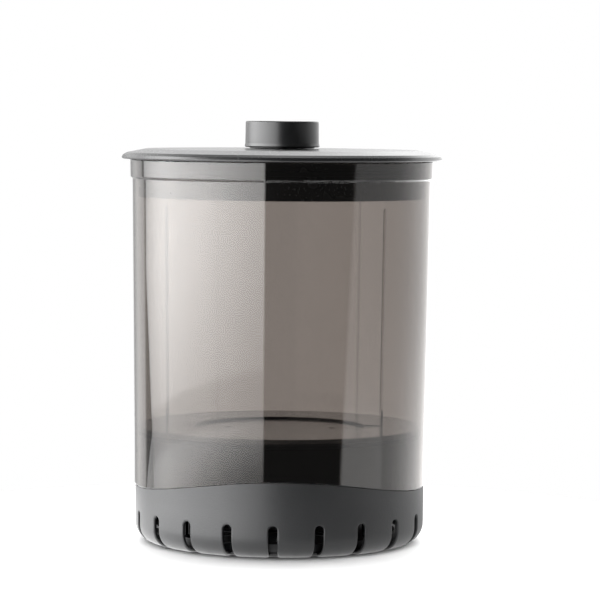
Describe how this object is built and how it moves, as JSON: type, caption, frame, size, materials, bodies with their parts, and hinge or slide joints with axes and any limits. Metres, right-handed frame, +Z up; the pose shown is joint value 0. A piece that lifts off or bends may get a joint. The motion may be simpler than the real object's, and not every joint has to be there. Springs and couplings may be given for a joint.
{
  "type": "sous vide circulator",
  "caption": "Round countertop water vessel with a smoke-tinted clear wall, a lift-off lid with a knob, and a slotted base that holds the heater and the circulation impeller.",
  "frame": {"origin": "centre of the footprint, on the surface that the base stands on", "axes": "+Z up, -Y to the front, where the wavy top edge of the boot is highest; the power inlet is at +Y"},
  "size_m": [0.1718, 0.1718, 0.2252],
  "materials": {
    "smoke_clear": "smoke-tinted clear plastic, polished",
    "lid_grey": "dark grey moulded plastic, satin",
    "knob_grey": "dark grey moulded plastic, satin",
    "gloss_black": "black moulded plastic, polished",
    "boot_matt": "dark grey moulded plastic, fine spark texture",
    "rubber": "black silicone rubber, matt",
    "cover_grey": "dark grey moulded plastic, polished",
    "steel": "stainless steel, turned or pressed",
    "aluminium": "pressed aluminium, satin",
    "brass": "turned brass",
    "grey_plastic": "grey moulded plastic, satin",
    "board_green": "glass-fibre board with green solder mask",
    "part_black": "black moulded plastic",
    "white_plastic": "white moulded plastic"
  },
  "bodies": {
    "base": {"vessel": "smoke_clear", "vessel_seal": "rubber", "floor_plug": "gloss_black", "heater_plate": "steel", "plate_gasket": "rubber", "plate_nut": "brass", "heater_element": "steel", "element_terminal_front": "steel", "element_terminal_back": "steel", "thermal_cutout": "white_plastic", "temperature_sensor": "brass", "shaft_seal": "rubber", "shaft_bush": "brass", "motor_can": "steel", "motor_mount": "aluminium", "mount_screw_left": "steel", "mount_screw_right": "steel", "motor_screw_left": "steel", "motor_screw_right": "steel", "control_board": "board_green", "board_screw_1": "steel", "board_screw_2": "steel", "board_screw_3": "steel", "board_screw_4": "steel", "power_module": "part_black", "relay": "white_plastic", "terminal_block": "grey_plastic", "capacitor": "part_black", "bottom_cover": "grey_plastic", "cover_screw_1": "steel", "cover_screw_2": "steel", "cover_screw_3": "steel", "cover_screw_4": "steel", "foot_pad_1": "rubber", "foot_pad_2": "rubber", "foot_pad_3": "rubber", "foot_pad_4": "rubber", "base_boot": "boot_matt", "power_inlet": "part_black", "inlet_pin_1": "brass", "inlet_pin_2": "brass"},
    "lid": {"lid": "lid_grey", "lid_seal": "rubber", "lid_knob": "knob_grey", "knob_washer": "steel", "knob_screw": "steel"},
    "cover": {"impeller_cover": "cover_grey"},
    "rotor": {"impeller": "grey_plastic", "impeller_shaft": "steel", "coupling": "grey_plastic", "motor_shaft": "steel"}
  },
  "joints": [
    {"name": "lid_lift", "type": "slide", "parent": "base", "child": "lid", "axis": [0, 0, 1], "range_m": [0, 0.045]},
    {"name": "cover_lift", "type": "slide", "parent": "base", "child": "cover", "axis": [0, 0, 1], "range_m": [0, 0.03]},
    {"name": "impeller_spin", "type": "hinge", "parent": "base", "child": "rotor", "pos_m": [0, 0, 0.052], "axis": [0, 0, 1], "continuous": true}
  ]
}
